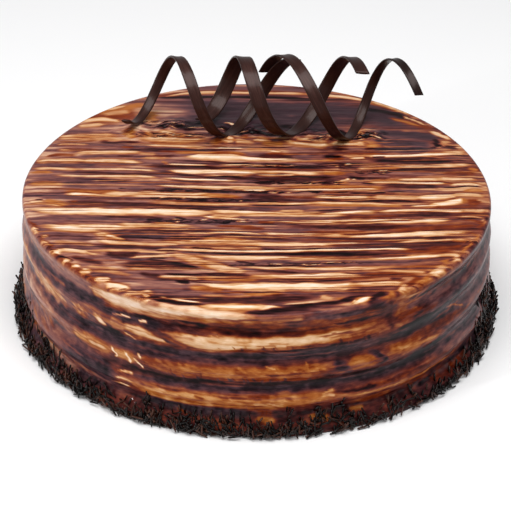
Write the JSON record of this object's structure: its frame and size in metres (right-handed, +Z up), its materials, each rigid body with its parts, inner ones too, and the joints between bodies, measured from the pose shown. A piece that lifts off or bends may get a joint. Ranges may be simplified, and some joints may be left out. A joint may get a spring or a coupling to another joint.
{
  "type": "irish coffee cake",
  "caption": "Round uncut layer cake under marbled glaze, with combed ridges round its side, chocolate strands at its foot and chocolate curls standing on top; a dessert to slice and serve.",
  "frame": {"origin": "centre of the cake's round underside, on the surface it stands on", "axes": "+Z up through the cake; -Y towards the front, the side seen in the picture; +X to the right of it, along the curls"},
  "size_m": [0.2531, 0.2536, 0.1122],
  "materials": {
    "marbled_glaze": "mirror-gloss caramel, cream and dark chocolate glaze",
    "dark_chocolate": "satin dark chocolate"
  },
  "bodies": {
    "root": {"cake": "marbled_glaze", "curl_left": "dark_chocolate", "curl_middle": "dark_chocolate", "curl_right": "dark_chocolate"}
  },
  "joints": []
}
